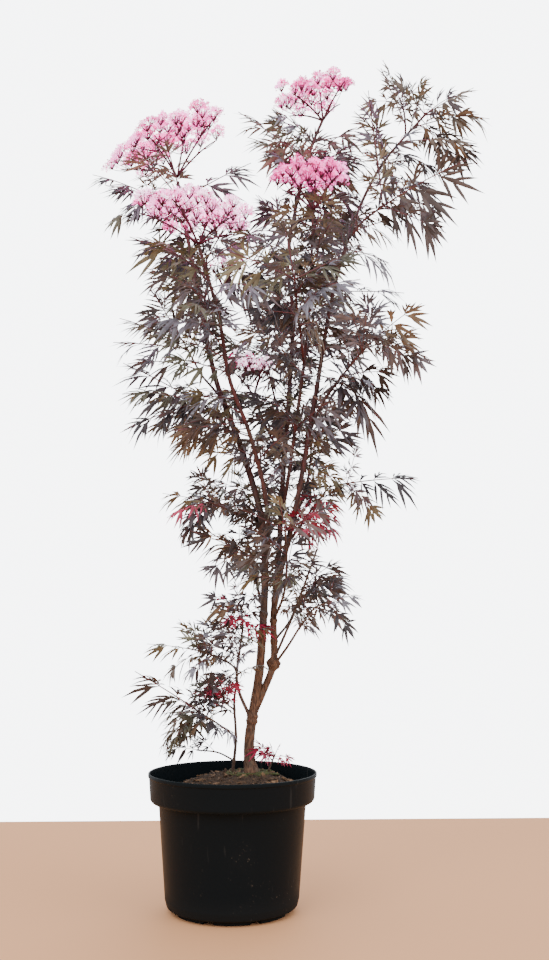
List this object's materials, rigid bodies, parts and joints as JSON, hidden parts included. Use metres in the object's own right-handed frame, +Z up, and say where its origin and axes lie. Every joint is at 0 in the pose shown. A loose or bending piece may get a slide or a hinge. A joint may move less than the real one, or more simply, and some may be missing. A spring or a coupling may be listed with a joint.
{
  "type": "potted elder shrub",
  "caption": "Dark elder shrub in a round black nursery pot: a short forked trunk, bare boughs, finely cut purple-black leaves and flat heads of pink blossom.",
  "frame": {"origin": "the middle of the pot's flat underside", "axes": "+Z up along the pot's axis, +X to the viewer's right, +Y away from the viewer"},
  "size_m": [0.7425, 0.4679, 1.4831],
  "materials": {
    "pot": "satin black",
    "soil": "moist, crumbly",
    "bark": "rough brown bark",
    "stem": "smooth wine-red young bark",
    "leaf": "dark purple leaf with a grey sheen",
    "red_leaf": "young crimson leaf",
    "blossom": "pale pink petals"
  },
  "bodies": {
    "root": {"arching_leaves": "leaf", "back_high_leaves": "leaf", "back_left_leaves": "leaf", "back_low_leaves": "leaf", "back_right_leaves": "leaf", "bud_head": "blossom", "cut_shoot": "stem", "front_bough": "stem", "front_flower_head": "blossom", "front_high_leaves": "leaf", "front_leaves_high": "leaf", "front_leaves_low": "leaf", "front_low_leaves": "leaf", "inner_bough": "stem", "inner_flower_head": "blossom", "inner_leaves_high": "leaf", "inner_leaves_low": "leaf", "leader_bough": "stem", "leader_flower_head": "blossom", "leader_leaves_high": "leaf", "leader_leaves_low": "leaf", "left_leaves": "leaf", "left_lower_leaves": "leaf", "left_middle_leaves": "leaf", "left_stem": "stem", "left_tip_leaves": "leaf", "left_tuft_leaves": "leaf", "left_upper_leaves": "leaf", "low_leaves": "leaf", "low_left_leaves": "leaf", "low_stem": "stem", "middle_bough": "stem", "middle_flower_head": "blossom", "middle_leaves_high": "leaf", "middle_leaves_low": "leaf", "middle_leaves_mid": "leaf", "pale_flower_head": "blossom", "pot": "pot", "reaching_leaves": "leaf", "red_sprout": "red_leaf", "red_tuft": "red_leaf", "right_back_leaves": "leaf", "right_bough": "stem", "right_leaves_high": "leaf", "right_leaves_low": "leaf", "right_leaves_top": "leaf", "right_low_leaves": "leaf", "rim_leaves": "leaf", "second_stem": "bark", "soil": "soil", "spur_leaves": "leaf", "top_fan_leaves": "leaf", "trunk": "bark"}
  },
  "joints": []
}
